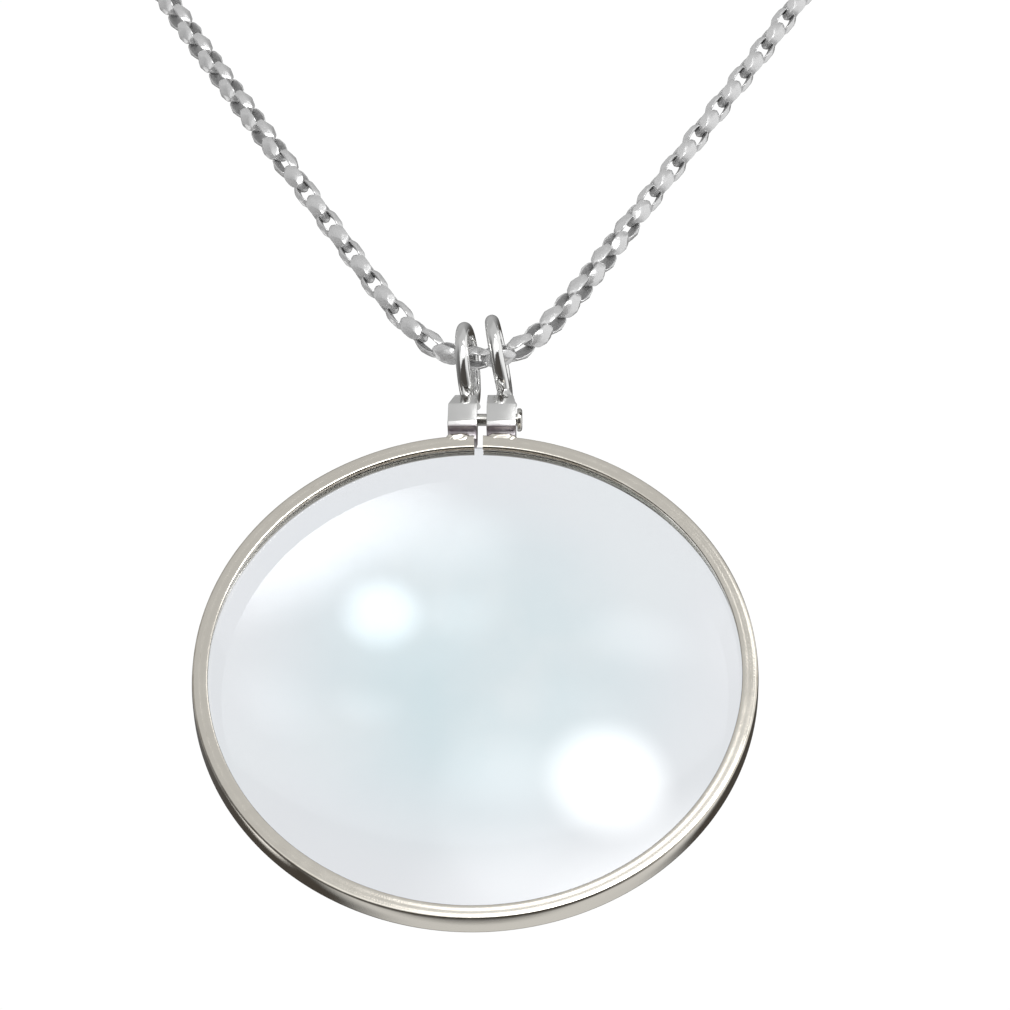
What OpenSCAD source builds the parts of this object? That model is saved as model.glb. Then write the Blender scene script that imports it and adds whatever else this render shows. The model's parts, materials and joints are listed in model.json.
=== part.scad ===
// Magnifier pendant on a chain: a round glass lens in a split metal rim, which hangs by two
// soldered eyes from a closed necklace chain. Millimetres, +Z up, the front of the lens faces -Y.
// The origin is at the nape of the neck, on the inner face of the clasp.

/* [Rim] */
// Outer diameter of the rim
rim_od = 45; // [40:1:50]
// Depth of the rim from its front face to its back face
rim_depth = 2.3; // [2:0.1:3]
// Width of the rim's face, along the radius
rim_face = 1.3; // [1.2:0.1:1.8]
// Radius of the rounding along the rim's outer edges
edge_r = 0.3; // [0.1:0.05:0.5]
// Radius of the raised bead along the rim's inner edges
bead_r = 0.15; // [0.1:0.05:0.25]
// Width of the split at the top of the rim, which lets the lens in
split_w = 0.7; // [0.4:0.1:1]

/* [Lens] */
// Thickness of the lens at its edge
lens_edge = 1; // [0.8:0.1:1.2]
// Radius of the lens's bulging front face
front_curve = 100; // [60:5:200]
// Radius of the lens's bulging back face
back_curve = 135; // [60:5:200]
// Depth of the groove inside the rim that holds the lens
groove_depth = 0.5; // [0.3:0.05:0.6]

/* [Lugs] */
// Width of each lug, across the front
lug_w = 2.4; // [2:0.1:2.6]
// Depth of each lug, front to back
lug_depth = 3.2; // [2.6:0.1:3.6]
// How far the pair of lugs sits to the right of the split
lug_shift = 0.25; // [0:0.05:0.3]
// Height of each lug
lug_h = 3.4; // [3:0.1:3.6]
// Space between the rim and the underside of the lugs, which a narrow neck fills
neck_h = 0.5; // [0.3:0.1:0.8]
// Width of the neck under each lug
neck_w = 1.7; // [1.4:0.1:2]
// Depth of the neck under each lug
neck_depth = 1.8; // [1.4:0.1:2.2]

/* [Eyes] */
// Outer diameter of each eye
eye_od = 7.3; // [6.8:0.1:7.8]
// Thickness of the wire of the eyes
eye_wire = 1.14; // [0.9:0.02:1.2]
// Diameter of the solder foot under each eye
foot_d = 1.6; // [1.2:0.1:1.8]

/* [Screw] */
// Diameter of the clamp screw's shank
screw_d = 1; // [0.8:0.1:1.2]
// Diameter of the clamp screw's head
head_d = 1.9; // [1.6:0.1:2.2]
// Thickness of the clamp screw's head
head_h = 0.4; // [0.3:0.1:0.7]
// Width of the slot in the head
slot_w = 0.3; // [0.2:0.05:0.4]

/* [Chain] */
// Thickness of the chain
chain_d = 1.86; // [1.7:0.02:1.9]
// How far the chain's middle lies behind the middle of the eyes
hang_back = 0.8; // [0:0.1:0.9]
// How far the pendant hangs to the right of the chain's middle
hang_side = 0.15; // [0:0.05:0.3]
// How far both arms of the chain lean to the left, as a share of their height
arm_lean = 0.01; // [0:0.005:0.02]

/* [Clasp] */
// Diameter of the barrel clasp
clasp_d = 3.6; // [3.2:0.1:4]
// Length of the barrel clasp
clasp_l = 13; // [12:0.5:16]
// Depth of the socket in each end of the clasp
socket_depth = 3; // [2:0.1:3]

/* [Hidden] */
$fn = 96;

clearance = 0.08;
overlap = 0.4;
// How far a cutting body reaches past what it cuts
cut_past = 1;
// Sides of the great balls that the lens's faces are cut from
face_sides = 400;

rim_or = rim_od / 2;
rim_ir = rim_or - rim_face;
half_depth = rim_depth / 2;
groove_r = rim_ir + groove_depth;
arc_steps = 4;

// Height of a lens face of the given curve above its own edge, at a distance from the middle
function bulge(curve, r) = sqrt(pow(curve, 2) - pow(r, 2)) - sqrt(pow(curve, 2) - pow(lens_r, 2));

lens_r = groove_r - clearance;
front_sag = bulge(front_curve, 0);
back_sag = bulge(back_curve, 0);
groove_half = lens_edge / 2 + max(bulge(front_curve, rim_ir), bulge(back_curve, rim_ir)) + clearance;

// How far the inner side of each lug is set back from the side of the split
lug_setback = 0.03;
lug_gap = split_w / 2 + lug_setback;
lug_mid = lug_gap + lug_w / 2;
lug_z = rim_or + neck_h;
lug_top = lug_z + lug_h;
bevel_depth = 0.6;
bevel_h = 1.25;
chamfer_depth = 0.16;
chamfer_h = 0.42;

eye_r = (eye_od - eye_wire) / 2;
// One row for each eye, measured from the middle between the lugs:
// [across, foot height, turn about the upright, lean]
eyes = [
    [-1.18, -0.17, -8, -1],
    [1.79, 0.67, -7, -8],
];
eye_across = 0;
eye_rise = 1;
eye_turn = 2;
eye_lean = 3;

// The chain hangs inside the top of the left eye, which is the lower one
chain_r = chain_d / 2;
left_eye_z = lug_top + eyes[0][eye_rise] + eye_od / 2;
chain_room = eye_r - eye_wire / 2 - chain_r - clearance;
hinge_z = left_eye_z + sqrt(pow(chain_room, 2) - pow(hang_back, 2));

// Height of the screw, as a share of the lug's height
screw_place = 0.47;
screw_z = lug_z + screw_place * lug_h;
// How far the screw's tip stays inside the far lug
tip_sunk = 0.05;
screw_tip = lug_gap + lug_w - tip_sunk;
slot_depth = 0.22;

// Half of the chain's route, from the middle between the eyes to the clasp, measured from
// the middle between the eyes: [across, back, up]
half_route = [
    [0, 0, 0],
    [1.6, 0, 0.1],
    [3.1, 0.1, 0.85],
    [4.4, 0.4, 2.1],
    [6.15, 0.9, 4.4],
    [8.5, 1.5, 8.1],
    [13.3, 3.4, 17],
    [19.8, 5.8, 29],
    [26.7, 8.4, 42],
    [35, 11.5, 59],
    [43, 16, 81],
    [50, 22, 105],
    [55.5, 31, 131],
    [60, 44, 158],
    [62.5, 61, 184],
    [61.5, 81, 206],
    [56, 102, 223],
    [46, 120, 236],
    [33, 133, 245],
    [19, 140, 249],
    [8, 141.8, 250],
    [4, 141.8, 250],
];
route_end = half_route[len(half_route) - 1];
tube_sides = 8;
// Spans shorter than this take no ring between their ends
short_span = 4.5;
// Square to the slanted plane that the loop lies in
loop_normal = [0, -0.87, 0.5];

clasp_y = clasp_d / 2;
// How far the eyes hang in front of the nape, and below it
reach = route_end[1] - clasp_y;
drop = route_end[2];
socket_d = chain_d + 2 * clearance;
rib_count = 3;
rib_w = 0.7;
rib_h = 0.15;

// Points of a circle's arc
function arc(mid, r, from, to) =
    [for (i = [0 : arc_steps]) let (a = from + (to - from) * i / arc_steps)
        mid + r * [cos(a), sin(a)]];

function unit(v) = v / norm(v);

// A point between b and c on the smooth curve through a, b, c and d
function between(a, b, c, d) = (-a + 9 * b + 9 * c - d) / 16;

function mirrored(p) = [-p[0], p[1], p[2]];

// A point moved by the arms' lean, which ends at the clasp
function leaned(p) = [p[0] - arm_lean * p[2] * (1 - p[2] / drop), p[1], p[2]];

// The whole route from one clasp end to the other
function whole_route(half) = [
    for (i = [len(half) - 1 : -1 : 1]) leaned(mirrored(half[i])),
    for (p = half) leaned(p)
];

// The route with one more point in the middle of each long span
function smooth_route(p) = [for (i = [0 : len(p) - 1])
    let (last = len(p) - 1, open = i > 0 && i < last - 1)
    each open && norm(p[i + 1] - p[i]) > short_span
        ? [p[i], between(p[i - 1], p[i], p[i + 1], p[i + 2])]
        : [p[i]]];

// The direction of the route at point i
function heading(p, i) = unit(p[min(i + 1, len(p) - 1)] - p[max(i - 1, 0)]);

// One ring of the tube, square to the route at point i
function ring(p, i, r) =
    let (t = heading(p, i), side = unit(cross(t, loop_normal)), rise = cross(side, t))
    [for (k = [0 : tube_sides - 1]) let (a = 360 * (k + 0.5) / tube_sides)
        p[i] + r * (cos(a) * side + sin(a) * rise)];

// A closed tube of round section along a route
module tube(route, r) {
    last = len(route) - 1;
    rings = [for (i = [0 : last]) each ring(route, i, r)];
    walls = [for (i = [0 : last - 1], k = [0 : tube_sides - 1])
        let (a = i * tube_sides + k, b = i * tube_sides + (k + 1) % tube_sides)
        each [[a, b, b + tube_sides], [a, b + tube_sides, a + tube_sides]]];
    first_end = [for (k = [tube_sides - 1 : -1 : 0]) k];
    last_end = [for (k = [0 : tube_sides - 1]) last * tube_sides + k];
    polyhedron(points = rings, faces = concat([first_end], walls, [last_end]));
}

// Moves a pendant piece from the middle of the rim to its place under the chain
module hung() {
    translate([hang_side, -reach - hang_back, -drop - hinge_z]) children();
}

// Section of the rim: a grooved band with rounded outer edges and a bead along each inner edge
module rim_section() {
    bead_x = rim_ir + bead_r;
    edge_x = rim_or - edge_r;
    edge_y = half_depth - edge_r;
    polygon(concat(
        [[groove_r, -groove_half], [rim_ir, -groove_half]],
        arc([bead_x, -half_depth], bead_r, 180, 360),
        arc([edge_x, -edge_y], edge_r, -90, 0),
        arc([edge_x, edge_y], edge_r, 0, 90),
        arc([bead_x, half_depth], bead_r, 0, 180),
        [[rim_ir, groove_half], [groove_r, groove_half]]
    ));
}

// Block beside the split, with a bevelled top and a chamfered lower edge
module lug() {
    d = lug_depth / 2;
    outline = [
        [d - chamfer_depth, 0],
        [d, chamfer_h],
        [d, lug_h - bevel_h],
        [d - bevel_depth, lug_h],
        [-d + bevel_depth, lug_h],
        [-d, lug_h - bevel_h],
        [-d, chamfer_h],
        [-d + chamfer_depth, 0],
    ];
    translate([lug_gap, 0, lug_z]) rotate([90, 0, 90]) linear_extrude(lug_w) polygon(outline);
    translate([lug_mid - neck_w / 2, -neck_depth / 2, rim_or - overlap])
        cube([neck_w, neck_depth, neck_h + 2 * overlap]);
}

// Closed wire ring standing on a lug, on a short solder foot
module eye(row) {
    foot_z = lug_top - overlap;
    translate([row[eye_across], 0, lug_top + row[eye_rise]])
        rotate([0, row[eye_lean], row[eye_turn]])
        translate([0, 0, eye_od / 2])
        rotate([0, 90, 0])
        rotate_extrude() translate([eye_r, 0]) circle(d = eye_wire, $fn = 32);
    translate([row[eye_across], 0, foot_z])
        cylinder(d = foot_d, h = overlap + max(0, row[eye_rise]) + eye_wire / 2, $fn = 32);
}

module rim() {
    color([0.80, 0.77, 0.70]) hung() difference() {
        union() {
            rotate([90, 0, 0]) rotate_extrude($fn = 180) rim_section();
            translate([lug_shift, 0, 0]) {
                lug();
                mirror([1, 0, 0]) lug();
                for (row = eyes) eye(row);
            }
        }
        translate([-split_w / 2, -lug_depth, rim_ir - cut_past])
            cube([split_w, 2 * lug_depth, cut_past + rim_face + neck_h / 2]);
        translate([lug_shift, 0, screw_z]) rotate([0, 90, 0])
            cylinder(d = screw_d + 2 * clearance, h = 2 * (screw_tip + cut_past), center = true, $fn = 32);
    }
}

module lens() {
    blank = lens_edge + 2 * (max(front_sag, back_sag) + cut_past);
    color([0.86, 0.92, 0.94, 0.5]) hung() intersection() {
        rotate([90, 0, 0]) cylinder(r = lens_r, h = blank, center = true, $fn = 180);
        translate([0, front_curve - front_sag - lens_edge / 2, 0]) sphere(r = front_curve, $fn = face_sides);
        translate([0, -back_curve + back_sag + lens_edge / 2, 0]) sphere(r = back_curve, $fn = face_sides);
    }
}

// Slotted screw that pulls the two lugs together
module clamp_screw() {
    head_x = lug_gap + lug_w + clearance;
    color([0.70, 0.70, 0.70]) hung() translate([lug_shift, 0, screw_z]) difference() {
        rotate([0, 90, 0]) union() {
            translate([0, 0, -screw_tip]) cylinder(d = screw_d, h = screw_tip + head_x + overlap, $fn = 32);
            translate([0, 0, head_x]) cylinder(d = head_d, h = head_h, $fn = 48);
        }
        translate([head_x + head_h - slot_depth, -head_d, -slot_w / 2])
            cube([head_h, head_d * 2, slot_w]);
    }
}

module chain() {
    color([0.82, 0.83, 0.84]) translate([0, -reach, -drop])
        tube(smooth_route(whole_route(half_route)), chain_r);
}

// Plain barrel with a socket in each end for the chain, and raised ribs to grip it by
module clasp() {
    pitch = 2 * rib_w;
    color([0.78, 0.79, 0.80]) translate([0, clasp_y, 0]) rotate([0, 90, 0]) difference() {
        union() {
            cylinder(d = clasp_d - 2 * rib_h, h = clasp_l, center = true, $fn = 64);
            for (i = [0 : rib_count - 1])
                translate([0, 0, (i - (rib_count - 1) / 2) * pitch])
                cylinder(d = clasp_d, h = rib_w, center = true, $fn = 64);
        }
        for (end = [-1, 1])
            translate([0, 0, end * (clasp_l - socket_depth + cut_past) / 2])
            cylinder(d = socket_d, h = socket_depth + cut_past, center = true, $fn = 48);
    }
}

rim();
lens();
clamp_screw();
chain();
clasp();
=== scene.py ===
import json
import math

import bmesh
import bpy
import numpy as np
from mathutils import Matrix, Vector


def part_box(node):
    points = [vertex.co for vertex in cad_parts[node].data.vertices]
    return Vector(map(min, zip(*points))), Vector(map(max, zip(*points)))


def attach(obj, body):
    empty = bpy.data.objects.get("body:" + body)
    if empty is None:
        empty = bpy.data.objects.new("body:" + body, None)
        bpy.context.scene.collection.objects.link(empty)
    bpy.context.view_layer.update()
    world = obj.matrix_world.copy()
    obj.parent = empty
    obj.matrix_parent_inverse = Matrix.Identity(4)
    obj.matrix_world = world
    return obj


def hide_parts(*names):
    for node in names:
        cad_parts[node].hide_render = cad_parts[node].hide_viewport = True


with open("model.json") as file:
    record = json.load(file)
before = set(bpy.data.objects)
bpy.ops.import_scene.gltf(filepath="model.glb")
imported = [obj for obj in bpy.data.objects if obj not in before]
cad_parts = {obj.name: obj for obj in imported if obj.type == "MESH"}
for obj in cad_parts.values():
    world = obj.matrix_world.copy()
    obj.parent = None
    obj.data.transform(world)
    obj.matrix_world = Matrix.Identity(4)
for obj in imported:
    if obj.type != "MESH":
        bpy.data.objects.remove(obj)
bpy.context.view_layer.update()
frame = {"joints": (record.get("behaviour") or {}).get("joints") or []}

MM = 0.001
TURN = 2 * math.pi

# Places that the frame gives, in metres
lens_low, lens_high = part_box("lens")
rim_low, rim_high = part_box("rim")
rim_middle = (lens_low + lens_high) / 2
rim_middle.y = (rim_low.y + rim_high.y) / 2
hinge = Vector(frame["joints"][0]["pos_m"])

# Where nothing else is said, lengths are in millimetres and angles in degrees, and places on the
# pendant count from the middle of the rim. A RUB says how worn and how shaded a place is: 1 is worn
# bright, and below 0 it takes a painted shade, turning dark and dull.

# Rim
RIM_R = 22.5
RIM_INNER_R = 21.2
RIM_HALF_DEPTH = 1.15
RIM_STEPS = 256
RIM_SHARP = 50
GROOVE_R = 21.7
GROOVE_HALF = 0.67
GROOVE_RUB = 0.3
WALL_CHAMFER_R = 0.04
WALL_CHAMFER_DEPTH = 0.05
BACK_WALL_RUB = 0.3
LIP_R = 0.1
# The lip is darkened with painted shade, which dims its highlight
LIP_SHADE = -0.4
LIP_STEPS = 7
# The face from the lip to the edge, as radius and rise: a bead, a shallow groove and a ridge
FACE_GROOVE_R = 21.88
FACE = [(21.283, 10), (21.36, 4), (21.62, -6), (FACE_GROOVE_R, 3), (22.2, -9), (22.28, -14)]
FACE_STEPS = 3
FACE_RUB = 0
# The face's groove is darkened with painted shade
FACE_GROOVE_SHADE = -0.4
EDGE_R = 0.22
BACK_EDGE_R = 0.3
# The outer edge is darkened with painted shade
EDGE_SHADE = -0.6
EDGE_STEPS = 7
# The front half of the side swells towards the middle, at this angle at first
SIDE_LEAN = 8
SIDE_RUB = 0.1
# Points of the side, as shares of the way from the edge to the middle
SIDE_STOPS = (0.1, 0.3, 0.55, 0.8)
# The front inner wall has a painted shade, darkest at the top by the lugs and fading as far round as this
# angle in radians
WALL_SHADE = -1.3
WALL_SHADE_SPREAD = 1.1
WALL_SHADE_FAR = -0.1
SPLIT_HALF = 0.35

# Lens
LENS_R = 21.62
LENS_EDGE_HALF = 0.5
LENS_CHAMFER = 0.06
LENS_FRONT_CURVE = 100
LENS_BACK_CURVE = 135
LENS_BACK_R = 20.0
# The back face is ground a little out of centre, downwards, and a bevel of even slope surrounds it
LENS_BACK_SHIFT = 1.4
LENS_BEVEL_SLOPE = 0.25
LENS_RINGS = 40
LENS_STEPS = 192
LENS_SHARP = 2

# Lugs
LUG_SHIFT = 0.25
LUG_INNER_X = 0.38
LUG_W = 2.4
LUG_HALF_DEPTH = 1.6
LUG_Z = 23.0
LUG_H = 3.4
LUG_BEVEL_DEPTH = 0.6
LUG_BEVEL_H = 1.25
LUG_CHAMFER_DEPTH = 0.16
LUG_CHAMFER_H = 0.42
LUG_ROUND = 0.07
LUG_ROUND_STEPS = 3
LUG_SHARP = 50
LUG_RUB = 0.1
# The foot of each lug, with the neck under it, takes a painted shade up to this height
LUG_SHADE_H = 0.3
LUG_FOOT_SHADE = -1.0
# Side of the split, and how far the top's left and right corners are cut away
LUGS = {
    "left": (-1, (0.55, 0.1)),
    "right": (1, (0.05, 0.25)),
}
NECK_W = 2.3
NECK_DEPTH = 1.8
NECK_H = 1.0
NECK_DROP = 0.85

# Eyes: across, height of the foot over the lug, turn and lean
EYES = {
    "left": (-0.93, -0.17, -8, -1),
    "right": (2.04, 0.67, -7, -8),
}
EYE_R = 3.08
EYE_RUB = 1.0
EYE_STEPS = 96
WIRE_R = 0.57
WIRE_STEPS = 24

# Solder foot of an eye. Waves are height, number around, turn over the height, share of the phase
FOOT_R = 1.0
FOOT_SINK = 0.3
FOOT_TAPER = 0.5
FOOT_TAPER_POWER = 0.5
FOOT_DEEPER = 1.15
FOOT_WAVES = [(0.06, 3, 5, 0), (0.04, 5, -7, 1)]
FOOT_ROWS = 14
FOOT_STEPS = 48

# Solder between the lugs and the rim: middle and half width of each layer, then the common form
SOLDERS = {
    "left": (-1.68, 1.3),
    "right": (1.93, 1.55),
}
SOLDER_HALF_DEPTH = 1.1
SOLDER_FLARE = 0.2
SOLDER_NARROWING = 0.35
SOLDER_LOW = -0.65
SOLDER_H = 0.85
SOLDER_TOP_ROUND = 0.3
SOLDER_TOP_POWER = 6
SOLDER_BOXY_POWER = 0.5
SOLDER_WAVES = [(0.03, 3, 4, 1), (0.02, 11, -9, 0)]
SOLDER_RUB = 0.5
SOLDER_ROWS = 16
SOLDER_STEPS = 96

# Clamp screw
SCREW_Z = 24.598
SCREW_R = 0.5
SCREW_TIP_X = -2.48
# The rounding of the tip, as distance from its end and loss of radius
SCREW_TIP = [(0, 0.12), (0.1, 0.02), (0.2, 0)]
SCREW_HEAD_X = 3.11
SCREW_HEAD_R = 0.95
SCREW_HEAD_H = 0.4
SCREW_HEAD_CHAMFER = 0.06
SCREW_DOME_H = 0.18
SCREW_DOME_NARROWING = 0.28
SCREW_DOME_STEPS = 5
SCREW_SLOT_W = 0.3
SCREW_SLOT_DEPTH = 0.22
SCREW_STEPS = 64
TURNED_SHARP = 35

# Chain
CHAIN_R = 0.93
LINK_PITCH = 2.1
LINK_THICK = 0.42
LINK_PLAY = 0.02
LINK_HALF_L = LINK_PITCH / 2 + LINK_THICK + LINK_PLAY
LINK_SQUARE = 3.0
LINK_WIDENING_POWER = 3
LINK_SIDE_HALF_W = 0.67
LINK_END_HALF_W = 0.26
LINK_PAD_HALF_W = 0.42
LINK_PAD_HALF_L = 0.85
LINK_CREASE = 0.03
LINK_SLOPE = 22
LINK_SLOPE_W = 0.27
LINK_EDGE_W = 0.08
LINK_EDGE_SLOPE = 52
LINK_EDGE_DROP = 0.28
LINK_CORNER_R = 0.06
# Where a corner's middle point lies, as shares of its radius
LINK_CORNER_NEAR = 0.3
LINK_CORNER_FAR = 0.4
LINK_CROWN_RUB = 1
# The flanks go from worn bright by the crown to a painted shade inwards, and the inner face, in the link's
# hole, takes the darkest painted shade
LINK_FLANK_WEAR_AND_SHADE = (0.8, 0.4, 0.0, -0.3, -1)
LINK_INNER_SHADE = -1
LINK_AROUND = 36
LINK_SHARP = 70
# Each link is turned this far from the one before
LINK_TURN = 90.0
# How far the links are turned further about the chain, by their number from the middle
TWIST = [(-80, 40), (-16, 40), (-12, 2), (-5, 0), (-1, 20), (4, 40), (8, 40), (12, 5), (80, 5)]
# Links that take their turn from the camera's direction
FACING_LINKS = 28
# The chain's four pieces, as shares of its length
CHAIN_PIECES = {
    "chain_left_back": (0.0, 0.25),
    "chain_left_front": (0.25, 0.5),
    "chain_right_front": (0.5, 0.75),
    "chain_right_back": (0.75, 1.0),
}

# Half of the chain's route, from the middle between the eyes: across, back, up
HALF_ROUTE = [
    (0, 0, 0),
    (1.6, 0, 0.1),
    (3.1, 0.1, 0.85),
    (4.4, 0.4, 2.1),
    (6.15, 0.9, 4.4),
    (8.5, 1.5, 8.1),
    (13.3, 3.4, 17),
    (19.8, 5.8, 29),
    (26.7, 8.4, 42),
    (35, 11.5, 59),
    (43, 16, 81),
    (50, 22, 105),
    (55.5, 31, 131),
    (60, 44, 158),
    (62.5, 61, 184),
    (61.5, 81, 206),
    (56, 102, 223),
    (46, 120, 236),
    (33, 133, 245),
    (19, 140, 249),
    (8, 141.8, 250),
    (4, 141.8, 250),
]
ROUTE_STEPS = 64

# How far both arms lean to the left, as a share of their height
ARM_LEAN = 0.01

# Clasp
CLASP_R = 1.8
CLASP_BODY_R = 1.65
CLASP_L = 13
CLASP_SIDE_X = (2.3, 3.2, 4.5)
CLASP_END_R = 0.35
CLASP_END_ARC = (90, 10)
CLASP_END_STEPS = 6
CLASP_RIB_W = 0.7
CLASP_RIB_PITCH = 2 * CLASP_RIB_W
CLASP_RIB_CHAMFER = 0.08
CLASP_RIBS = (-1, 0, 1)
CLASP_SOCKET_R = 1.01
CLASP_SOCKET_DEPTH = 3
CLASP_MOUTH_CHAMFER = 0.12
CLASP_STEPS = 144
KNURL_DEPTH = 0.07
KNURL_TEETH = 24
KNURL_MARGIN = 0.01

# Metals: scale and detail of the cloudy wear, detail of the grain, and the marks between which the painted
# shade turns to the body's colour, the body to the worn colour, and the polish to the dull
CLOUD_SCALE = 900
CLOUD_DETAIL = 4
GRAIN_DETAIL = 2
SHADE_TO_BODY = (-0.8, 0.2)
BODY_TO_WORN = (0.4, 1.6)
POLISH_TO_DULL = (-0.6, 2.0)

# Glass: tint in the middle and at the edge, with the distances in metres between which it changes
GLASS_MIDDLE = (0.63, 0.745, 0.785, 1)
GLASS_EDGE = (0.78, 0.80, 0.83, 1)
GLASS_TINT_SPAN = (0.004, 0.021)
GLASS_IOR = 1.52
HAZE_COLOUR = (0.78, 0.82, 0.84, 1)
HAZE_SCALE = 60
HAZE_DETAIL = 4
HAZE_TINT_SPAN = (0.45, 0.9)
HAZE_ROUGH_SPAN = (0.3, 0.8)
HAZE_ROUGHNESS = 0.005

# World: greys that reflections see, against the direction's height from -1 to 1. In front and behind,
# the height leans with the direction's share to the right
FRONT_RAMP = [
    (-1, 0.10),
    (-0.36, 0.12),
    (-0.22, 1.0),
    (0.12, 1.0),
    (0.36, 0.56),
    (0.88, 0.53),
    (1, 0.42),
]
FRONT_LEAN = 0.4
BACK_RAMP = [
    (-1, 0.64),
    (-0.5, 0.64),
    (-0.33, 0.60),
    (-0.14, 0.2),
    (-0.06, 0.06),
    (0.3, 0.06),
    (0.5, 0.13),
    (1, 0.42),
]
BACK_LEAN = 0.35
RIGHT_RAMP = [(-1, 0.10), (-0.5, 0.3), (-0.2, 0.85), (0.7, 0.95), (0.9, 0.42), (1, 0.42)]
LEFT_RAMP = [(-1, 0.10), (-0.3, 0.16), (0.2, 0.22), (0.5, 0.45), (1, 0.42)]
# Below these heights the back is an even grey
LOW_BACK_SPAN = (-0.74, -0.5)
LOW_BACK_COLOUR = (0.2, 0.2, 0.2, 1)
# Where one zone turns into the next, as the direction's share to the back, right or left
BACK_SPAN = (-0.2, 0.1)
RIGHT_SPAN = (0.55, 0.75)
LEFT_SPAN = (0.5, 0.8)
# Greys below these turn into a warm dark
WARM_SPAN = (0.05, 0.25)
WARM_DARK = (0.060, 0.053, 0.046, 1)
WORLD_WHITE = (1, 1, 1, 1)
WORLD_STRENGTH = 1.02

# Softboxes: name, azimuth, elevation, width, height, strength, soft share of the radius, tilt and
# distance in metres
CARD_DISTANCE = 1.0
SOFTBOXES = [
    ("softbox_main", 12.0, 17.8, 14.5, 15.5, 11.0, 0.75, 0, CARD_DISTANCE),
    ("softbox_low", 23, 6, 54, 25, 9.5, 0.95, 30, CARD_DISTANCE),
    ("softbox_centre", 4, 5, 28, 20, 3.0, 0.95, 0, CARD_DISTANCE),
    ("softbox_high", 16, 34.4, 14, 10, 1.5, 0.9, -10, CARD_DISTANCE),
    ("softbox_wide", 2, 18, 16, 12, 1.8, 0.9, 0, CARD_DISTANCE),
    ("softbox_side", 33, 34, 22, 20, 1.5, 0.95, 0, CARD_DISTANCE),
    ("softbox_rim", 7.6, 13.3, 29.6, 33.6, 0.62, 0.27, 0, 0.265),
    ("softbox_left", -134, -4, 24, 24, 1.0, 0.6, 0, CARD_DISTANCE),
]

# Floor, in metres
FLOOR_HALF = 20.0
FLOOR_Z = -0.64
FLOOR_CELLS = 24
FLOOR_GRAIN = 3
FLOOR_COLOURS = ((0.92, 0.92, 0.93, 1), (0.95, 0.95, 0.95, 1))
FLOOR_ROUGHNESS = 0.8

# Camera: half a metre from the lens, in front of it and below it, looking up
CAMERA_DISTANCE = 0.5
CAMERA_TILT = 31.12
CAMERA_AZIMUTH = 1.64
CAMERA_ROLL = 0.9
FOCAL = 224.24
SENSOR = 36
# Nearest and furthest distance that the camera sees, in metres
CLIP = (0.01, 20)
# How far the picture's middle lies right of the lens and above it, in metres in the picture's plane
AIM_RIGHT = 0.002375
AIM_UP = 0.01376


def local(x, y, z):
    """A point given in millimetres from the middle of the rim."""
    return rim_middle + Vector((x, y, z)) * MM


def direction(azimuth, elevation):
    """Azimuth 0 is the front, -Y, and 90 is +X."""
    a, e = math.radians(azimuth), math.radians(elevation)
    return Vector((math.sin(a) * math.cos(e), -math.cos(a) * math.cos(e), math.sin(e)))


def signed_power(base, power):
    """A power of the number's size, with the number's sign."""
    return math.copysign(abs(base) ** power, base)


def waves(start, table, a, f, phase):
    """A start value with gentle waves added, at the angle a around and the share f of the height."""
    rows = (h * math.sin(around * a + along * f + share * phase) for h, around, along, share in table)
    return sum(rows, start)


# Mesh helpers


def new_object(name, mesh, materials):
    piece = bpy.data.objects.new(name, mesh)
    bpy.context.scene.collection.objects.link(piece)
    for material in materials:
        mesh.materials.append(material)
    return piece


def turn_faces_out(mesh):
    bm = bmesh.new()
    bm.from_mesh(mesh)
    bmesh.ops.recalc_face_normals(bm, faces=bm.faces)
    bm.to_mesh(mesh)
    bm.free()


def shade_smooth(mesh, sharp_deg):
    """Smooth shading, with a sharp edge wherever two faces meet at more than the angle."""
    mesh.polygons.foreach_set("use_smooth", [True] * len(mesh.polygons))
    mesh.set_sharp_from_angle(angle=math.radians(sharp_deg))


def mesh_from(name, points, faces, materials, sharp_deg=40):
    mesh = bpy.data.meshes.new(name)
    mesh.from_pydata([tuple(p) for p in points], [], faces)
    turn_faces_out(mesh)
    shade_smooth(mesh, sharp_deg)
    return new_object(name, mesh, materials)


def arc(middle, radius, start_deg, end_deg, steps):
    """Points of a round arc."""
    points = []
    for i in range(steps + 1):
        a = math.radians(start_deg + (end_deg - start_deg) * i / steps)
        points.append((middle[0] + radius * math.cos(a), middle[1] + radius * math.sin(a)))
    return points


def grid_faces(rows, columns, close_rows, close_columns):
    """Quads between the points of a grid that is listed row by row."""
    faces = []
    for i in range(rows if close_rows else rows - 1):
        below = i * columns
        above = (i + 1) % rows * columns
        for k in range(columns if close_columns else columns - 1):
            nxt = (k + 1) % columns
            faces.append((below + k, below + nxt, above + nxt, above + k))
    return faces


def tube_faces(rows, steps):
    """Faces of a tube that is listed ring by ring, with a flat cap at each end."""
    faces = grid_faces(rows, steps, False, True)
    faces.append(tuple(range(steps - 1, -1, -1)))
    faces.append(tuple(range((rows - 1) * steps, rows * steps)))
    return faces


def mark_wear_and_shade(piece, values):
    attribute = piece.data.attributes.new("wear_and_shade", "FLOAT", "POINT")
    attribute.data.foreach_set("value", values)


def dress(piece, body, nodes):
    for node in nodes:
        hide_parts(node)
    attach(piece, body)


# Materials


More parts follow.
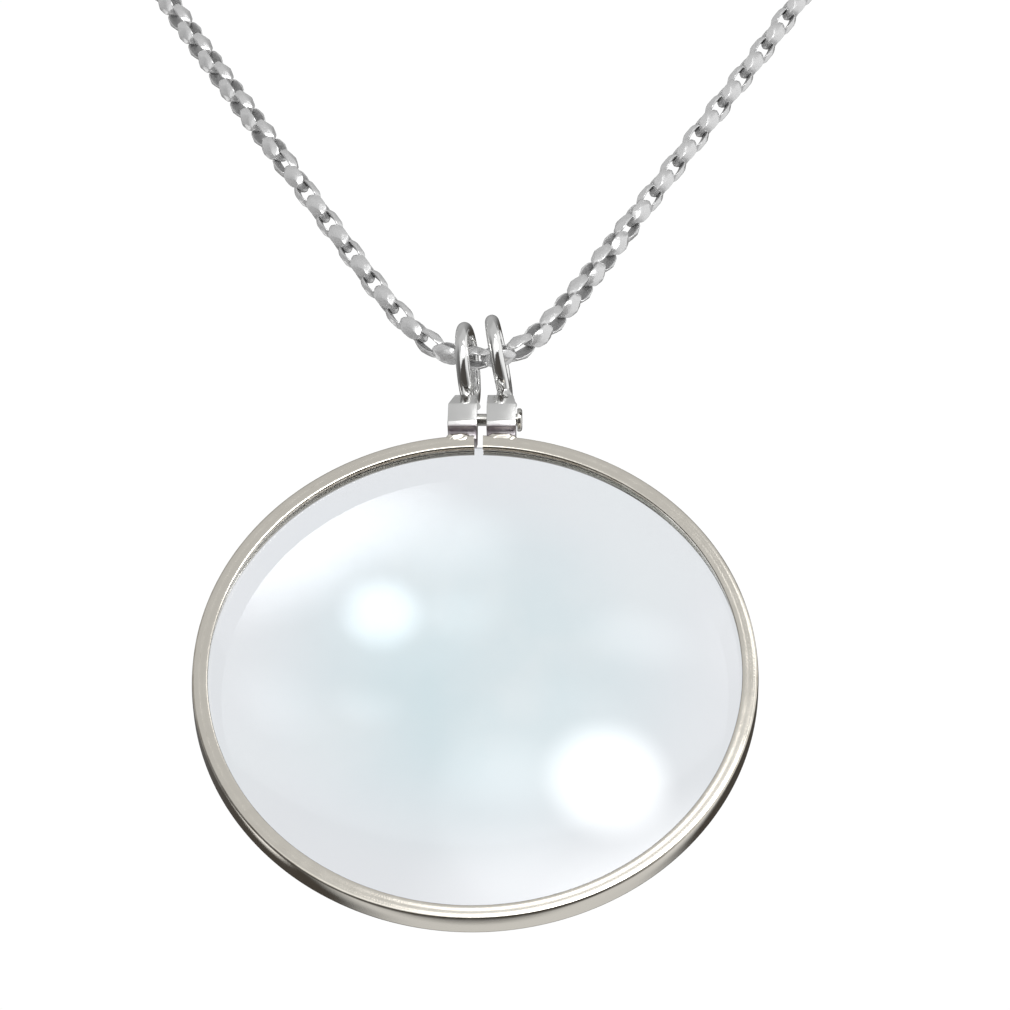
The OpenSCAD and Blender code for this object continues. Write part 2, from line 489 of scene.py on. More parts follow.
class Shader:
    """Builds a node tree in a few words."""

    def __init__(self, tree):
        self.tree = tree
        tree.nodes.clear()

    def node(self, kind, **settings):
        made = self.tree.nodes.new(kind)
        for key, value in settings.items():
            setattr(made, key, value)
        return made

    def put(self, socket, value):
        if isinstance(value, bpy.types.NodeSocket):
            self.tree.links.new(value, socket)
        else:
            socket.default_value = value

    def math(self, operation, a, b=0.0):
        made = self.node("ShaderNodeMath", operation=operation)
        self.put(made.inputs[0], a)
        self.put(made.inputs[1], b)
        return made.outputs[0]

    def smooth(self, value, low, high, out_low=0.0, out_high=1.0):
        """A soft step of value between low and high."""
        made = self.node("ShaderNodeMapRange", interpolation_type="SMOOTHSTEP")
        self.put(made.inputs["Value"], value)
        made.inputs["From Min"].default_value = low
        made.inputs["From Max"].default_value = high
        made.inputs["To Min"].default_value = out_low
        made.inputs["To Max"].default_value = out_high
        return made.outputs["Result"]

    def mix(self, factor, a, b):
        made = self.node("ShaderNodeMix", data_type="RGBA")
        self.put(made.inputs["Factor"], factor)
        self.put(made.inputs["A"], a)
        self.put(made.inputs["B"], b)
        return made.outputs["Result"]

    def noise(self, scale, detail=3.0):
        made = self.node("ShaderNodeTexNoise")
        self.put(made.inputs["Vector"], self.place())
        made.inputs["Scale"].default_value = scale
        made.inputs["Detail"].default_value = detail
        return made.outputs["Fac"]

    def place(self):
        return self.node("ShaderNodeTexCoord").outputs["Object"]

    def parts(self, vector):
        """The three parts of a vector."""
        made = self.node("ShaderNodeSeparateXYZ")
        self.put(made.inputs[0], vector)
        return made.outputs

    def bump(self, height, distance):
        made = self.node("ShaderNodeBump")
        self.put(made.inputs["Height"], height)
        made.inputs["Distance"].default_value = distance
        made.inputs["Strength"].default_value = 1.0
        return made.outputs["Normal"]

    def ramp(self, value, stops):
        """A grey ramp over -1 to 1, from a list of places and greys."""
        made = self.node("ShaderNodeValToRGB")
        self.put(made.inputs["Fac"], self.math("MULTIPLY_ADD", value, 0.5))
        made.inputs["Fac"].links[0].from_node.inputs[2].default_value = 0.5
        points = made.color_ramp.elements
        while len(points) < len(stops):
            points.new(0.5)
        for point, (place, grey) in zip(points, stops):
            point.position = (place + 1) / 2
            point.color = (grey, grey, grey, 1)
        return made.outputs["Color"]

    def finish(self, kind, shader):
        """Sends the shader to an output node of the kind."""
        out = self.node(kind)
        self.put(out.inputs["Surface"], shader.outputs[0])


def new_material(name):
    """A material, and the Shader that builds its nodes."""
    material = bpy.data.materials.new(name)
    material.use_nodes = True
    return material, Shader(material.node_tree)


def metal(name, painted_shade, body, worn, roughness, grain_scale, grain_height, metallic=1.0):
    """Polished metal with a fine grain and cloudy patches, dull and darkened with painted shade where
    marked below 0, and worn bright where marked near 1.
    """
    material, s = new_material(name)
    cloud = s.noise(CLOUD_SCALE, CLOUD_DETAIL)
    grain = s.noise(grain_scale, GRAIN_DETAIL)
    wear_and_shade = s.node("ShaderNodeAttribute", attribute_name="wear_and_shade").outputs["Fac"]
    wear_and_shade_level = s.math("ADD", cloud, wear_and_shade)
    dullness = s.math("SUBTRACT", cloud, wear_and_shade)
    # Marks below 0 give a painted shade: the colour turns to the dark shade colour in hollows, undersides
    # and edges
    colour = s.mix(s.smooth(wear_and_shade_level, *SHADE_TO_BODY), (*painted_shade, 1), (*body, 1))
    colour = s.mix(s.smooth(wear_and_shade_level, *BODY_TO_WORN), colour, (*worn, 1))
    shader = s.node("ShaderNodeBsdfPrincipled")
    s.put(shader.inputs["Base Color"], colour)
    s.put(shader.inputs["Roughness"], s.smooth(dullness, *POLISH_TO_DULL, *roughness))
    s.put(shader.inputs["Normal"], s.bump(grain, grain_height))
    shader.inputs["Metallic"].default_value = metallic
    s.finish("ShaderNodeOutputMaterial", shader)
    return material


champagne = metal(
    "champagne_nickel",
    painted_shade=(0.36, 0.30, 0.22),
    body=(0.86, 0.82, 0.74),
    worn=(0.92, 0.88, 0.80),
    roughness=(0.03, 0.27),
    grain_scale=9000,
    grain_height=0.000004,
)
silver = metal(
    "soldered_silver",
    painted_shade=(0.42, 0.38, 0.41),
    body=(0.86, 0.86, 0.85),
    worn=(0.93, 0.93, 0.92),
    roughness=(0.04, 0.42),
    grain_scale=7000,
    grain_height=0.000004,
)
steel = metal(
    "screw_steel",
    painted_shade=(0.50, 0.49, 0.46),
    body=(0.68, 0.67, 0.64),
    worn=(0.80, 0.79, 0.76),
    roughness=(0.12, 0.40),
    grain_scale=12000,
    grain_height=0.000003,
)
chain_silver = metal(
    "chain_silver",
    painted_shade=(0.44, 0.44, 0.44),
    body=(0.62, 0.62, 0.62),
    worn=(0.71, 0.71, 0.71),
    roughness=(0.18, 0.50),
    grain_scale=3000,
    grain_height=0.000014,
    metallic=0.52,
)


def lens_glass():
    """Clear glass with a faint blue body and the slightest haze of handling."""
    material, s = new_material("lens_glass")
    haze = s.noise(HAZE_SCALE, HAZE_DETAIL)
    away = s.node("ShaderNodeVectorMath", operation="DISTANCE")
    s.put(away.inputs[0], s.place())
    away.inputs[1].default_value = rim_middle
    tint = s.mix(s.smooth(away.outputs["Value"], *GLASS_TINT_SPAN), GLASS_MIDDLE, GLASS_EDGE)
    shader = s.node("ShaderNodeBsdfPrincipled")
    s.put(shader.inputs["Base Color"], s.mix(s.smooth(haze, *HAZE_TINT_SPAN), tint, HAZE_COLOUR))
    s.put(shader.inputs["Roughness"], s.smooth(haze, *HAZE_ROUGH_SPAN, 0.0, HAZE_ROUGHNESS))
    shader.inputs["Transmission Weight"].default_value = 1
    shader.inputs["IOR"].default_value = GLASS_IOR
    s.finish("ShaderNodeOutputMaterial", shader)
    return material


glass = lens_glass()


# Rim


def face_line(start_y):
    """Points along the face, whose rise changes evenly between the given radii."""
    points = []
    y = start_y
    for (r0, rise0), (r1, rise1) in zip(FACE, FACE[1:]):
        step = (r1 - r0) / FACE_STEPS
        for i in range(FACE_STEPS):
            points.append((r0 + step * i, y))
            y += math.tan(math.radians(rise0 + (rise1 - rise0) * (i + 0.5) / FACE_STEPS)) * step
    points.append((FACE[-1][0], y))
    return points


def rim_half(edge_r, side_lean, wall_wear_and_shade):
    """Half of the rim's section as radius and distance from its middle, with how worn and how shaded each
    point is.
    """
    lip_middle = (RIM_INNER_R + LIP_R, RIM_HALF_DEPTH - LIP_R)
    lip = arc(lip_middle, LIP_R, 180, 90 + FACE[0][1], LIP_STEPS)
    face = face_line(lip[-1][1])
    start = 90 + FACE[-1][1]
    edge_r_middle = face[-1][0] - edge_r * math.cos(math.radians(start))
    edge_y_middle = face[-1][1] - edge_r * math.sin(math.radians(start))
    edge = arc((edge_r_middle, edge_y_middle), edge_r, start, side_lean, EDGE_STEPS)
    half = [
        (GROOVE_R, GROOVE_HALF, GROOVE_RUB),
        (RIM_INNER_R + WALL_CHAMFER_R, GROOVE_HALF, GROOVE_RUB),
        (RIM_INNER_R, GROOVE_HALF + WALL_CHAMFER_DEPTH, wall_wear_and_shade),
        (*lip[0], wall_wear_and_shade),
    ]
    half += [(r, y, LIP_SHADE) for r, y in lip[1:-1]]
    half += [(r, y, FACE_GROOVE_SHADE if r == FACE_GROOVE_R else FACE_RUB) for r, y in face]
    half += [(r, y, EDGE_SHADE) for r, y in edge[1:]]
    side_r, side_y = edge[-1]
    for f in SIDE_STOPS:
        swell = math.tan(math.radians(side_lean)) * side_y * f * (1 - f / 2)
        half.append((side_r + swell, side_y * (1 - f), SIDE_RUB))
    return half


def rim_profile():
    """Whole section of the rim, front half first."""
    front = [(r, -y, wear_shade) for r, y, wear_shade in rim_half(EDGE_R, SIDE_LEAN, WALL_SHADE)]
    return front + rim_half(BACK_EDGE_R, 0, BACK_WALL_RUB)[::-1]


def split_ring(name, profile, steps, material):
    """A ring about Y through the lens, cut square at the top by the split."""
    points = []
    wear_and_shade = []
    for i in range(steps + 1):
        for r, y, wear_shade in profile:
            gap = math.asin(SPLIT_HALF / r)
            a = gap + (TURN - 2 * gap) * i / steps
            points.append(local(r * math.sin(a), y, r * math.cos(a)))
            # The front inner wall takes a painted shade, darkest at the top
            near_top = math.exp(-((min(a, TURN - a) / WALL_SHADE_SPREAD) ** 2))
            wear_and_shade.append(WALL_SHADE_FAR + (WALL_SHADE - WALL_SHADE_FAR) * near_top if wear_shade == WALL_SHADE else wear_shade)
    n = len(profile)
    faces = grid_faces(steps + 1, n, False, True)
    faces.append(tuple(range(n)))
    faces.append(tuple(range(steps * n + n - 1, steps * n - 1, -1)))
    ring = mesh_from(name, points, faces, [material], RIM_SHARP)
    mark_wear_and_shade(ring, wear_and_shade)
    return ring


dress(split_ring("rim_band", rim_profile(), RIM_STEPS, champagne), "pendant", ["rim"])


# Lugs


def lug_outline():
    d = LUG_HALF_DEPTH
    return [
        (-d + LUG_CHAMFER_DEPTH, 0),
        (-d, LUG_CHAMFER_H),
        (-d, LUG_H - LUG_BEVEL_H),
        (-d + LUG_BEVEL_DEPTH, LUG_H),
        (d - LUG_BEVEL_DEPTH, LUG_H),
        (d, LUG_H - LUG_BEVEL_H),
        (d, LUG_CHAMFER_H),
        (d - LUG_CHAMFER_DEPTH, 0),
    ]


def prism(bm, outline, x0, x1, base_z, shoulders=(0, 0)):
    """A prism along X, whose top corners on the left and on the right may be cut away."""
    top = max(z for y, z in outline)
    near = [bm.verts.new(local(x0 + shoulders[0] * (z == top), y, base_z + z)) for y, z in outline]
    far = [bm.verts.new(local(x1 - shoulders[1] * (z == top), y, base_z + z)) for y, z in outline]
    n = len(outline)
    bm.faces.new(near[::-1])
    bm.faces.new(far)
    for i in range(n):
        bm.faces.new((near[i], near[(i + 1) % n], far[(i + 1) % n], far[i]))


def make_lug(name, side, shoulders):
    bm = bmesh.new()
    inner = LUG_SHIFT + side * LUG_INNER_X
    outer = LUG_SHIFT + side * (LUG_INNER_X + LUG_W)
    middle = (inner + outer) / 2
    prism(bm, lug_outline(), min(inner, outer), max(inner, outer), LUG_Z, shoulders)
    d = NECK_DEPTH / 2
    neck = [(-d, 0), (-d, NECK_H), (d, NECK_H), (d, 0)]
    prism(bm, neck, middle - NECK_W / 2, middle + NECK_W / 2, LUG_Z - NECK_DROP)
    bmesh.ops.recalc_face_normals(bm, faces=bm.faces)
    bmesh.ops.bevel(
        bm,
        geom=bm.edges[:],
        offset=LUG_ROUND * MM,
        segments=LUG_ROUND_STEPS,
        profile=0.5,
        affect="EDGES",
    )
    mesh = bpy.data.meshes.new(name)
    bm.to_mesh(mesh)
    bm.free()
    shade_smooth(mesh, LUG_SHARP)
    lug = new_object(name, mesh, [silver])
    # The foot of the lug, where it meets the rim, takes a painted shade
    shade_top = local(0, 0, LUG_Z + LUG_SHADE_H).z
    mark_wear_and_shade(lug, [LUG_FOOT_SHADE if v.co.z < shade_top else LUG_RUB for v in mesh.vertices])
    dress(lug, "pendant", ["rim"])


for side, (sign, shoulders) in LUGS.items():
    make_lug("lug_" + side, sign, shoulders)


# Solder and eyes


def make_solder(name, middle_x, half_x):
    """A lumpy layer of solder over the top of the rim, below a lug."""
    points = []
    for i in range(SOLDER_ROWS):
        f = i / (SOLDER_ROWS - 1)
        for k in range(SOLDER_STEPS):
            a = TURN * k / SOLDER_STEPS
            lump = waves(0, SOLDER_WAVES, a, f, middle_x)
            half_y = SOLDER_HALF_DEPTH + SOLDER_FLARE * f - SOLDER_TOP_ROUND * f ** SOLDER_TOP_POWER + lump
            x = middle_x + (half_x - SOLDER_NARROWING * f) * signed_power(math.cos(a), SOLDER_BOXY_POWER)
            y = half_y * signed_power(math.sin(a), SOLDER_BOXY_POWER)
            z = math.sqrt(RIM_R ** 2 - x ** 2) + SOLDER_LOW + SOLDER_H * f
            points.append(local(x, y, z))
    solder = mesh_from(name, points, tube_faces(SOLDER_ROWS, SOLDER_STEPS), [champagne])
    mark_wear_and_shade(solder, [SOLDER_RUB] * len(points))
    dress(solder, "pendant", ["rim"])


def eye_points(across, rise, turn, lean):
    place = (
        Matrix.Translation(local(across, 0, LUG_Z + LUG_H + rise))
        @ Matrix.Rotation(math.radians(turn), 4, "Z")
        @ Matrix.Rotation(math.radians(lean), 4, "Y")
    )
    points = []
    for i in range(EYE_STEPS):
        a = TURN * i / EYE_STEPS
        for k in range(WIRE_STEPS):
            b = TURN * k / WIRE_STEPS
            r = EYE_R + WIRE_R * math.cos(b)
            ring = Vector((WIRE_R * math.sin(b), r * math.sin(a), EYE_R + WIRE_R + r * math.cos(a)))
            points.append(place @ (ring * MM))
    return points


def make_wire_eye(name, row):
    faces = grid_faces(EYE_STEPS, WIRE_STEPS, True, True)
    eye = mesh_from(name, eye_points(*row), faces, [silver])
    mark_wear_and_shade(eye, [EYE_RUB] * len(eye.data.vertices))
    dress(eye, "pendant", ["rim"])


def make_foot(name, across, rise):
    """A solder foot that flares from the wire down to the lug."""
    top = LUG_Z + LUG_H + max(0, rise) + WIRE_R
    bottom = LUG_Z + LUG_H - FOOT_SINK
    points = []
    for i in range(FOOT_ROWS):
        f = i / (FOOT_ROWS - 1)
        z = bottom + (top - bottom) * f
        for k in range(FOOT_STEPS):
            a = TURN * k / FOOT_STEPS
            lump = waves(1, FOOT_WAVES, a, f, across)
            radius = FOOT_R * (1 - FOOT_TAPER * f ** FOOT_TAPER_POWER) * lump
            points.append(local(across + radius * math.cos(a), FOOT_DEEPER * radius * math.sin(a), z))
    foot = mesh_from(name, points, tube_faces(FOOT_ROWS, FOOT_STEPS), [silver])
    dress(foot, "pendant", ["rim"])


for side, (middle_x, half_x) in SOLDERS.items():
    make_solder("solder_" + side, middle_x, half_x)

for side, row in EYES.items():
    make_wire_eye("eye_" + side, row)
    make_foot("foot_" + side, *row[:2])


# Lens


def lens_bulge(curve, r):
    return math.sqrt(curve**2 - r**2) - math.sqrt(curve**2 - LENS_R**2)


def make_lens():
    face_r = LENS_R - LENS_CHAMFER
    radii = [face_r * math.sin(math.pi / 2 * i / LENS_RINGS) for i in range(1, LENS_RINGS + 1)]
    front = [(r, -LENS_EDGE_HALF - lens_bulge(LENS_FRONT_CURVE, r), 0) for r in radii]
    front.append((LENS_R, -LENS_EDGE_HALF + LENS_CHAMFER, 0))
    back_radii = [LENS_BACK_R * math.sin(math.pi / 2 * i / LENS_RINGS) for i in range(LENS_RINGS, 0, -1)]
    back = [(r, LENS_EDGE_HALF + lens_bulge(LENS_BACK_CURVE, r), LENS_BACK_SHIFT) for r in back_radii]
    points = []
    for k in range(LENS_STEPS):
        a = TURN * k / LENS_STEPS
        bevel_w = face_r - LENS_BACK_R + LENS_BACK_SHIFT * math.cos(a)
        bevel_y = min(LENS_EDGE_HALF, back[0][1] - LENS_BEVEL_SLOPE * bevel_w)
        bevel = [(LENS_R, bevel_y - LENS_CHAMFER, 0), (face_r, bevel_y, 0)]
        for r, y, shift in front + bevel + back:
            points.append(local(r * math.sin(a), y, r * math.cos(a) - shift))
    n = len(points) // LENS_STEPS
    faces = grid_faces(LENS_STEPS, n, True, False)
    points.append(local(0, -LENS_EDGE_HALF - lens_bulge(LENS_FRONT_CURVE, 0), 0))
    points.append(local(0, LENS_EDGE_HALF + lens_bulge(LENS_BACK_CURVE, 0), -LENS_BACK_SHIFT))
    front_tip, back_tip = len(points) - 2, len(points) - 1
    for k in range(LENS_STEPS):
        nxt = (k + 1) % LENS_STEPS
        faces.append((front_tip, nxt * n, k * n))
        faces.append((back_tip, k * n + n - 1, nxt * n + n - 1))
    lens = mesh_from("lens_glass_disc", points, faces, [glass], LENS_SHARP)
    dress(lens, "pendant", ["lens"])


make_lens()


# Clamp screw


def turned_x(name, profile, middle, steps, material, ridges=None):
    """A closed turned piece about a line along X. The profile is place and radius."""
    points = []
    for x, r in profile:
        for k in range(steps):
            a = TURN * k / steps
            radius = r + (ridges(x, a) if ridges else 0)
            points.append(middle + Vector((x, radius * math.cos(a), radius * math.sin(a))) * MM)
    return mesh_from(name, points, tube_faces(len(profile), steps), [material], TURNED_SHARP)


def screw_profile(head_end):
    """The screw from its tip to the middle of its domed head."""
    profile = [(SCREW_TIP_X + along, SCREW_R - loss) for along, loss in SCREW_TIP]
    profile.append((SCREW_HEAD_X, SCREW_R))
    profile.append((SCREW_HEAD_X, SCREW_HEAD_R - SCREW_HEAD_CHAMFER))
    profile.append((SCREW_HEAD_X + SCREW_HEAD_CHAMFER, SCREW_HEAD_R))
    for i in range(SCREW_DOME_STEPS + 1):
        a = i / SCREW_DOME_STEPS * math.pi / 2
        x = head_end - SCREW_DOME_H + SCREW_DOME_H * math.sin(a)
        profile.append((x, SCREW_HEAD_R * (1 - SCREW_DOME_NARROWING * (1 - math.cos(a)))))
    return profile


def slot_cutter(head_end):
    """A block across the head that reaches past its sides and as far out as in."""
    bm = bmesh.new()
    bmesh.ops.create_cube(bm, size=1)
    size = Vector((SCREW_SLOT_DEPTH * 2, SCREW_HEAD_R * 3, SCREW_SLOT_W)) * MM
    bmesh.ops.scale(bm, vec=size, verts=bm.verts)
    bmesh.ops.translate(bm, vec=local(head_end, 0, SCREW_Z), verts=bm.verts)
    mesh = bpy.data.meshes.new("slot_cutter")
    bm.to_mesh(mesh)
    bm.free()
    return new_object("slot_cutter", mesh, [])


def make_screw():
    head_end = SCREW_HEAD_X + SCREW_HEAD_H
    middle = local(0, 0, SCREW_Z)
    screw = turned_x("clamp_screw_turned", screw_profile(head_end), middle, SCREW_STEPS, steel)
    cutter = slot_cutter(head_end)
    cut = screw.modifiers.new("slot", "BOOLEAN")
    cut.operation = "DIFFERENCE"
    cut.object = cutter
    bpy.context.view_layer.update()
    done = bpy.data.meshes.new_from_object(screw.evaluated_get(bpy.context.evaluated_depsgraph_get()))
    screw.modifiers.clear()
    screw.data = done
    done.set_sharp_from_angle(angle=math.radians(TURNED_SHARP))
    bpy.data.objects.remove(cutter)
    dress(screw, "pendant", ["clamp_screw"])


make_screw()


# Chain


def smooth_route():
    """The route as a fine line, in millimetres from the middle between the eyes."""
    half = np.array(HALF_ROUTE, float)
    route = np.vstack([(half * (-1, 1, 1))[:0:-1], half])
    height = route[:, 2]
    route[:, 0] -= ARM_LEAN * height * (1 - height / height.max())
    ahead = np.vstack([route[1:], 2 * route[-1:] - route[-2:-1]])
    before = np.vstack([2 * route[:1] - route[1:2], route[:-1]])
    fine = []
    for i in range(len(route) - 1):
        a, b, c, d = before[i], route[i], route[i + 1], ahead[i + 1]
        for t in np.linspace(0, 1, ROUTE_STEPS, endpoint=False):
            straight = 2 * b + (c - a) * t
            square = (2 * a - 5 * b + 4 * c - d) * t**2
            cube = (3 * b - a - 3 * c + d) * t**3
            fine.append(0.5 * (straight + square + cube))
    fine.append(route[-1])
    return np.array(fine)


def unit(vectors):
    return vectors / np.linalg.norm(vectors, axis=-1, keepdims=True)


def link_joints():
    """Even steps along the route, one link long each."""
    fine = smooth_route()
    along = np.concatenate([[0], np.cumsum(np.linalg.norm(np.diff(fine, axis=0), axis=1))])
    count = int(round(along[-1] / LINK_PITCH))
    stops = np.linspace(0, along[-1], count + 1)
    return np.stack([np.interp(stops, along, fine[:, k]) for k in range(3)], axis=1)


def band_section(half_width, pad):
    """Section of a band, as outwards, across and how worn and how shaded each point is.

    It has a crown with a flat pad and a slope beside it on each side, two flat sides and a flat inner
    face, with small round corners."""
    slope = math.tan(math.radians(LINK_SLOPE))
    edge_slope = math.tan(math.radians(LINK_EDGE_SLOPE))
    bend = min(pad + LINK_SLOPE_W, half_width - LINK_EDGE_W)
    bend_drop = (bend - pad) * slope
    edge_drop = min(LINK_EDGE_DROP, bend_drop + (half_width - bend) * edge_slope)
    crown = [
        (-edge_drop, half_width),
        (-bend_drop, bend),
        (-LINK_CREASE * slope, pad + LINK_CREASE),
        (0, pad),
    ]
    section = [(n, -v, LINK_CROWN_RUB) for n, v in crown]
    section.append((0, 0, LINK_CROWN_RUB))
    section += [(n, v, LINK_CROWN_RUB) for n, v in reversed(crown)]
    r = LINK_CORNER_R
    side = half_width + r
    near = LINK_CORNER_NEAR * r
    flank = [
        (-edge_drop - LINK_CORNER_FAR * r, side - near),
        (-edge_drop - r, side),
        (-LINK_THICK + r, side),
        (-LINK_THICK + near, side - near),
        (-LINK_THICK, side - r),
    ]
    section += [(n, v, wear_shade) for (n, v), wear_shade in zip(flank, LINK_FLANK_WEAR_AND_SHADE)]
    # The inner face takes a painted shade
    section.append((-LINK_THICK, 0, LINK_INNER_SHADE))
    section += [(n, -v, wear_shade) for (n, v), wear_shade in reversed(list(zip(flank, LINK_FLANK_WEAR_AND_SHADE)))]
    return section


def link_shape():
    """One link in millimetres: points as along, across, through, with its faces and how worn and how
    shaded it is.

    It is a band bent into an oval ring. Its two sides are domed and wide in the middle, and its two
    ends are narrow enough to pass through the next link."""
    points = []
    wear_and_shade = []
    for i in range(LINK_AROUND):
        a = TURN * i / LINK_AROUND
        x = signed_power(math.cos(a), 2 / LINK_SQUARE) * LINK_HALF_L
        y = signed_power(math.sin(a), 2 / LINK_SQUARE) * CHAIN_R
        nx = signed_power(x / LINK_HALF_L, LINK_SQUARE - 1) / LINK_HALF_L
        ny = signed_power(y / CHAIN_R, LINK_SQUARE - 1) / CHAIN_R
        size = math.hypot(nx, ny)
        nx, ny = nx / size, ny / size
        middleness = (1 - abs(x / LINK_HALF_L) ** LINK_WIDENING_POWER) * abs(ny)
        half_width = LINK_END_HALF_W + (LINK_SIDE_HALF_W - LINK_END_HALF_W) * middleness
        pad = LINK_PAD_HALF_W * max(0, 1 - abs(x) / LINK_PAD_HALF_L)
        for n, v, wear_shade in band_section(half_width, pad):
            points.append((x + nx * n, y + ny * n, v))
            wear_and_shade.append(wear_shade)
    section = len(points) // LINK_AROUND
    return np.array(points), np.array(grid_faces(LINK_AROUND, section, True, True)), np.array(wear_and_shade)


def link_frames(joints):
    """Middle, direction, and the two square directions of each link. Near the pendant the first of
    these faces the camera, and further on it is carried along the chain."""
    middles = (joints[1:] + joints[:-1]) / 2
    along = unit(joints[1:] - joints[:-1])
    facing = np.array(direction(CAMERA_AZIMUTH, -CAMERA_TILT))
    across = np.zeros_like(along)
    start = len(along) // 2
    for step in (1, -1):
        normal = facing
        i = start
        while 0 <= i < len(along):
            towards = facing if abs(i - start) <= FACING_LINKS else normal
            normal = unit(towards - along[i] * (towards @ along[i]))
            across[i] = normal
            i += step
    return middles, along, across, np.cross(along, across)


def make_chain():
    middles, along, across, through = link_frames(link_joints())
    shape, faces, wear_and_shade = link_shape()
    count = len(middles)
    number = np.arange(count)
    turned = np.interp(number - count // 2, [at for at, deg in TWIST], [deg for at, deg in TWIST])
    twist = np.radians(LINK_TURN * number + turned)
    cos, sin = np.cos(twist)[:, None], np.sin(twist)[:, None]
    side_a = across * cos + through * sin
    side_b = through * cos - across * sin
    world = (
        middles[:, None, :]
        + shape[None, :, 0:1] * along[:, None, :]
        + shape[None, :, 1:2] * side_a[:, None, :]
        + shape[None, :, 2:3] * side_b[:, None, :]
    )
    world = world * MM + np.array(hinge)
    for name, (start, end) in CHAIN_PIECES.items():
        first, last = int(round(start * count)), int(round(end * count))
        points = world[first:last].reshape(-1, 3)
        shift = np.arange(last - first)[:, None, None] * len(shape)
        link_faces = (faces[None] + shift).reshape(-1, 4).tolist()
        piece = mesh_from(name, points, link_faces, [chain_silver], LINK_SHARP)
        mark_wear_and_shade(piece, np.tile(wear_and_shade, last - first).astype(float))
        dress(piece, "necklace", ["chain"])


make_chain()


# Clasp


def knurl(x, a):
    """How far the knurling sinks into a rib at the place and angle."""
    reach = CLASP_RIB_W / 2 - KNURL_MARGIN
    on_rib = any(abs(x - i * CLASP_RIB_PITCH) < reach for i in CLASP_RIBS)
    return -KNURL_DEPTH * (0.5 - 0.5 * math.cos(KNURL_TEETH * a)) if on_rib else 0


def make_clasp():
    half = CLASP_L / 2
    right = [(x, CLASP_BODY_R) for x in CLASP_SIDE_X]
    end_middle = (half - CLASP_END_R, CLASP_BODY_R - CLASP_END_R)
    right += arc(end_middle, CLASP_END_R, *CLASP_END_ARC, CLASP_END_STEPS)
    right.append((half, CLASP_SOCKET_R + CLASP_MOUTH_CHAMFER))
    right.append((half - CLASP_MOUTH_CHAMFER, CLASP_SOCKET_R))
    right.append((half - CLASP_SOCKET_DEPTH, CLASP_SOCKET_R))
    left = [(-x, r) for x, r in reversed(right)]
    ribs = []
    w = CLASP_RIB_W / 2
    for i in CLASP_RIBS:
        x = i * CLASP_RIB_PITCH
        ribs.append((x - w, CLASP_BODY_R))
        ribs.append((x - w + CLASP_RIB_CHAMFER, CLASP_R))
        ribs.append((x + w - CLASP_RIB_CHAMFER, CLASP_R))
        ribs.append((x + w, CLASP_BODY_R))
    middle = Vector((0, CLASP_R, 0)) * MM
    clasp = turned_x("barrel_clasp", left + ribs + right, middle, CLASP_STEPS, silver, knurl)
    dress(clasp, "necklace", ["clasp"])


make_clasp()


# Studio: a white world, whose reflections have the photo's bright and dark zones


def make_world():
    world = bpy.data.worlds.new("studio")
    bpy.context.scene.world = world
    world.use_nodes = True
    s = Shader(world.node_tree)
    x, y, z = s.parts(s.node("ShaderNodeTexCoord").outputs["Generated"])
    front = s.ramp(s.math("SUBTRACT", z, s.math("MULTIPLY", x, FRONT_LEAN)), FRONT_RAMP)
    back = s.ramp(s.math("SUBTRACT", z, s.math("MULTIPLY", x, BACK_LEAN)), BACK_RAMP)
    back = s.mix(s.smooth(z, *LOW_BACK_SPAN), LOW_BACK_COLOUR, back)
    seen = s.mix(s.smooth(y, *BACK_SPAN), front, back)
    seen = s.mix(s.smooth(x, *RIGHT_SPAN), seen, s.ramp(z, RIGHT_RAMP))
    leftness = s.math("MULTIPLY", x, -1.0)
    seen = s.mix(s.smooth(leftness, *LEFT_SPAN), seen, s.ramp(z, LEFT_RAMP))
    seen = s.mix(s.smooth(seen, *WARM_SPAN), WARM_DARK, seen)
    ray = s.node("ShaderNodeLightPath")
    not_through = s.math("SUBTRACT", 1.0, ray.outputs["Is Transmission Ray"])
    mirrored = s.math("MULTIPLY", ray.outputs["Is Glossy Ray"], not_through)
    background = s.node("ShaderNodeBackground")
    s.put(background.inputs["Color"], s.mix(mirrored, WORLD_WHITE, seen))
    background.inputs["Strength"].default_value = WORLD_STRENGTH
    s.finish("ShaderNodeOutputWorld", background)


make_world()


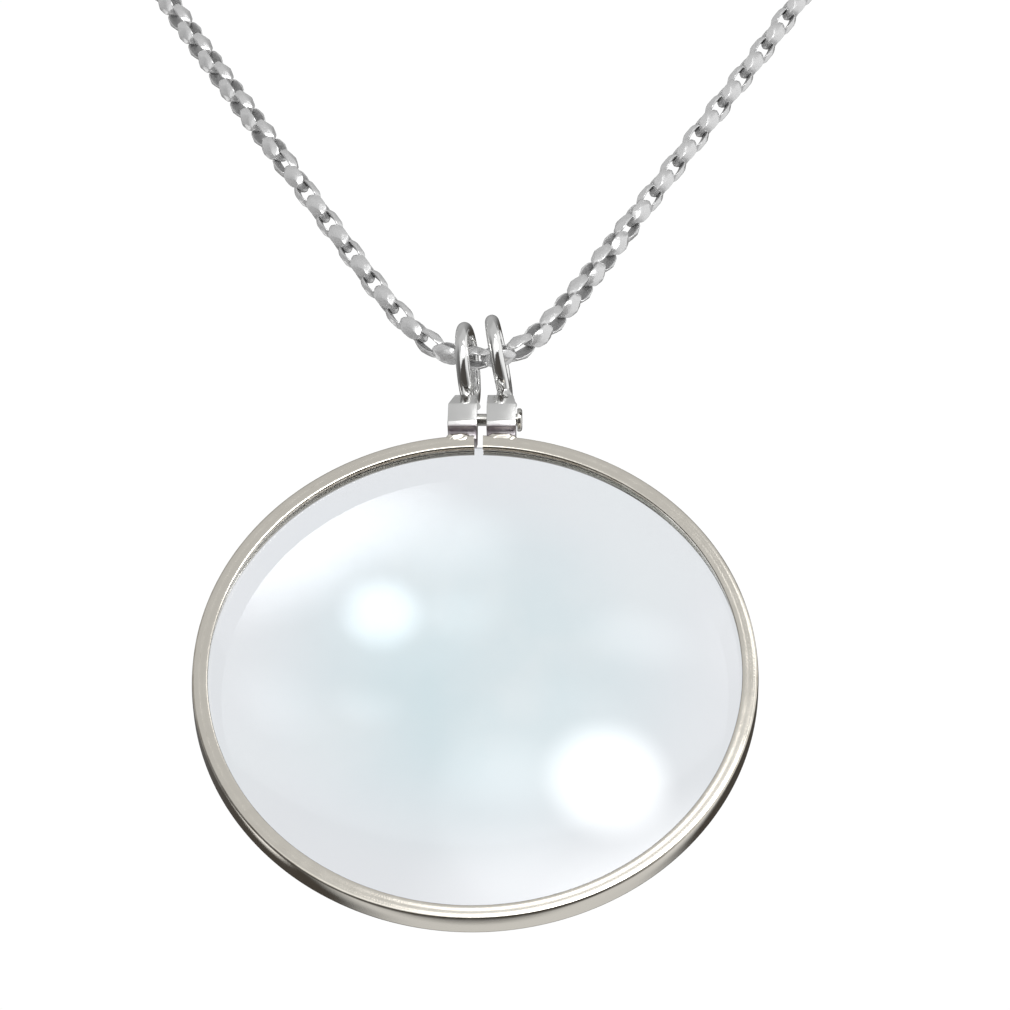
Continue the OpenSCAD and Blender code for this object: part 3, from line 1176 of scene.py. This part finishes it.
def softbox(name, azimuth, elevation, width_deg, height_deg, strength, edge, tilt, far):
    """A glowing card seen only in reflections, soft towards its edge."""
    towards = direction(azimuth, elevation)
    half_w = far * math.tan(math.radians(width_deg / 2))
    half_h = far * math.tan(math.radians(height_deg / 2))
    material, s = new_material(name)
    parts = s.parts(s.place())
    u = s.math("DIVIDE", parts[0], half_w)
    v = s.math("DIVIDE", parts[1], half_h)
    radius = s.math("SQRT", s.math("ADD", s.math("MULTIPLY", u, u), s.math("MULTIPLY", v, v)))
    glow = s.node("ShaderNodeEmission")
    s.put(glow.inputs["Strength"], s.smooth(radius, 1 - edge, 1, strength, 0.0))
    clear = s.node("ShaderNodeBsdfTransparent")
    both = s.node("ShaderNodeAddShader")
    s.put(both.inputs[0], clear.outputs[0])
    s.put(both.inputs[1], glow.outputs[0])
    s.finish("ShaderNodeOutputMaterial", both)
    corners = [(-half_w, -half_h, 0), (half_w, -half_h, 0), (half_w, half_h, 0), (-half_w, half_h, 0)]
    card = mesh_from(name, corners, [(0, 1, 2, 3)], [material])
    card.rotation_mode = "QUATERNION"
    spin = Matrix.Rotation(math.radians(tilt), 4, "Z").to_quaternion()
    card.rotation_quaternion = towards.to_track_quat("Z", "Y") @ spin
    card.location = rim_middle + towards * far
    card.visible_camera = False
    card.visible_diffuse = False
    card.visible_shadow = False


for row in SOFTBOXES:
    softbox(*row)


def make_floor():
    places = [FLOOR_HALF * (2 * k / FLOOR_CELLS - 1) for k in range(FLOOR_CELLS + 1)]
    points = [(x, y, FLOOR_Z) for y in places for x in places]
    material, s = new_material("floor_paper")
    shader = s.node("ShaderNodeBsdfPrincipled")
    s.put(shader.inputs["Base Color"], s.mix(s.noise(FLOOR_GRAIN), *FLOOR_COLOURS))
    shader.inputs["Roughness"].default_value = FLOOR_ROUGHNESS
    s.finish("ShaderNodeOutputMaterial", shader)
    floor = mesh_from("floor", points, grid_faces(len(places), len(places), False, False), [material])
    floor.visible_glossy = False


make_floor()


# Camera


def make_camera():
    sight = -direction(CAMERA_AZIMUTH, -CAMERA_TILT)
    right = sight.cross(Vector((0, 0, 1))).normalized()
    up = right.cross(sight)
    roll = math.radians(CAMERA_ROLL)
    leaned_right = right * math.cos(roll) + up * math.sin(roll)
    leaned_up = up * math.cos(roll) - right * math.sin(roll)
    place = rim_middle - sight * CAMERA_DISTANCE
    aim = rim_middle + leaned_right * AIM_RIGHT + leaned_up * AIM_UP
    ahead = (aim - place).normalized()
    side = ahead.cross(leaned_up).normalized()
    camera_data = bpy.data.cameras.new("camera")
    camera_data.lens = FOCAL
    camera_data.sensor_width = SENSOR
    camera_data.clip_start, camera_data.clip_end = CLIP
    camera = bpy.data.objects.new("camera", camera_data)
    bpy.context.scene.collection.objects.link(camera)
    turn = Matrix((side, side.cross(ahead), -ahead)).transposed()
    camera.matrix_world = Matrix.Translation(place) @ turn.to_4x4()
    bpy.context.scene.camera = camera


make_camera()
bpy.context.scene.view_settings.view_transform = "Standard"

bpy.context.view_layer.update()
